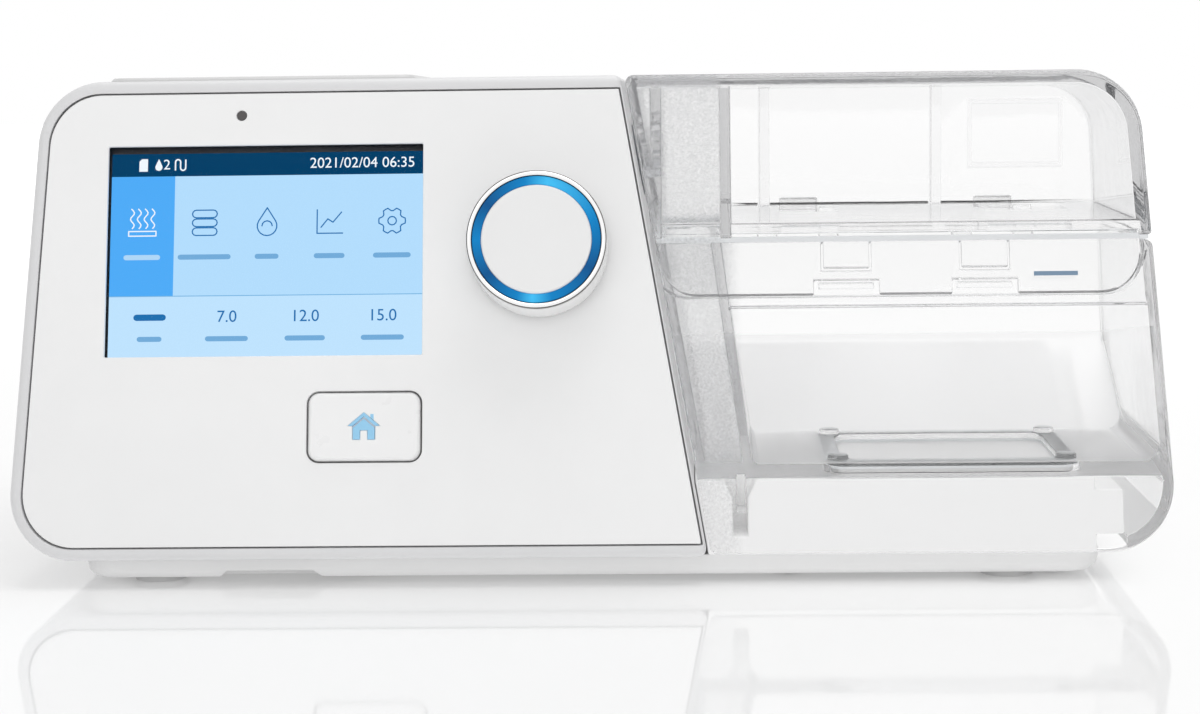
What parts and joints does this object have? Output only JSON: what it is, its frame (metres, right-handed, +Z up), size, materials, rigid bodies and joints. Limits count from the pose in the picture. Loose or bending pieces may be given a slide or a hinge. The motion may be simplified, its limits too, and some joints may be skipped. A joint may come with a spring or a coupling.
{
  "type": "bilevel pap machine",
  "caption": "Table-top breathing machine with a colour screen, a turning and pushing knob, a home key and a clear lift-out water tank under a hinged lid.",
  "frame": {"origin": "middle of the outer box on the plane of the table, under the feet", "axes": "+X to the viewer's right along the front, +Y from the front to the rear, +Z up"},
  "size_m": [0.265, 0.1446, 0.1152],
  "materials": {
    "white_satin": "satin",
    "panel_white": "satin",
    "base_grey": "fine texture",
    "foot_rubber": "matt",
    "screw_steel": "plated",
    "screen_clear": "polished",
    "screen_picture": "lit colour picture",
    "frame_grey": "moulded",
    "lens_black": "polished",
    "knob_white": "gloss",
    "knob_chrome": "mirror",
    "ring_blue": "clear tinted",
    "shaft_steel": "turned",
    "moulded_black": "moulded",
    "moulded_white": "moulded",
    "button_white": "satin",
    "inlay_blue": "satin",
    "circuit_board": "solder mask",
    "silicone_grey": "matt",
    "blower_grey": "moulded",
    "motor_steel": "drawn",
    "outlet_grey": "moulded",
    "filter_fibre": "open fibre",
    "card_blue": "moulded",
    "socket_steel": "pressed",
    "dock_white": "satin",
    "heater_metal": "brushed",
    "heater_film": "film",
    "tank_clear": "polished clear",
    "plate_metal": "rolled",
    "lid_clear": "polished clear",
    "seal_silicone": "matt translucent"
  },
  "bodies": {
    "machine": {"base_tray": "base_grey", "rubber_feet": "foot_rubber", "base_screws": "screw_steel", "main_case": "white_satin", "front_panel": "panel_white", "top_cover": "white_satin", "screen_glass": "screen_clear", "screen_module": "screen_picture", "screen_frame": "frame_grey", "light_sensor_lens": "lens_black", "encoder_body": "moulded_black", "home_switch": "moulded_black", "control_board": "circuit_board", "main_board": "circuit_board", "board_screws": "screw_steel", "blower_mounts": "silicone_grey", "blower_case": "blower_grey", "blower_cover": "blower_grey", "blower_motor": "motor_steel", "supply_duct": "frame_grey", "return_duct": "frame_grey", "port_gaskets": "silicone_grey", "air_outlet": "outlet_grey", "card_socket": "socket_steel", "card_board": "circuit_board", "power_inlet": "moulded_black", "tube_heater_socket": "moulded_black", "heater_dock": "dock_white", "heater_plate": "heater_metal", "heater_film": "heater_film", "heater_bracket": "socket_steel"},
    "knob_push": {"encoder_plunger": "moulded_white"},
    "knob": {"knob_shell": "knob_white", "knob_chrome_ring": "knob_chrome", "knob_light_ring": "ring_blue", "knob_disc": "knob_white", "encoder_shaft": "shaft_steel"},
    "home_key": {"home_button": "button_white", "home_inlay": "inlay_blue"},
    "impeller": {"blower_impeller": "moulded_white", "blower_shaft": "shaft_steel"},
    "filter_door": {"filter_cover": "white_satin", "air_filter": "filter_fibre"},
    "card": {"memory_card": "card_blue"},
    "tank": {"tank_shell": "tank_clear", "tank_plate": "plate_metal", "tank_gasket": "silicone_grey", "hinge_pins": "screw_steel"},
    "lid": {"lid_shell": "lid_clear", "lid_floor": "lid_clear", "lid_seal": "seal_silicone"}
  },
  "joints": [
    {"name": "knob_press", "type": "slide", "parent": "machine", "child": "knob_push", "axis": [0, 0.9613, -0.2756], "range_m": [0, 0.0009], "stiffness_N_per_m": 1500, "springref_m": -0.001},
    {"name": "knob_turn", "type": "hinge", "parent": "knob_push", "child": "knob", "pos_m": [-0.0108, -0.0531, 0.07494], "axis": [0, -0.9613, 0.2756], "continuous": true},
    {"name": "home_press", "type": "slide", "parent": "machine", "child": "home_key", "axis": [0, 0.9613, -0.2756], "range_m": [0, 0.0006], "stiffness_N_per_m": 1500, "springref_m": -0.0006},
    {"name": "impeller_spin", "type": "hinge", "parent": "machine", "child": "impeller", "pos_m": [-0.064, 0.01458, 0.03], "axis": [0, 0, 1], "continuous": true},
    {"name": "filter_pull", "type": "slide", "parent": "machine", "child": "filter_door", "axis": [0, 1, 0], "range_m": [0, 0.03]},
    {"name": "card_pull", "type": "slide", "parent": "machine", "child": "card", "axis": [-1, 0, 0], "range_m": [0, 0.033]},
    {"name": "tank_lift", "type": "slide", "parent": "machine", "child": "tank", "axis": [0, 0, 1], "range_m": [0, 0.08]},
    {"name": "lid_hinge", "type": "hinge", "parent": "tank", "child": "lid", "pos_m": [0.09, 0.02268, 0.07645], "axis": [-1, 0, 0], "range_deg": [0, 100]}
  ]
}
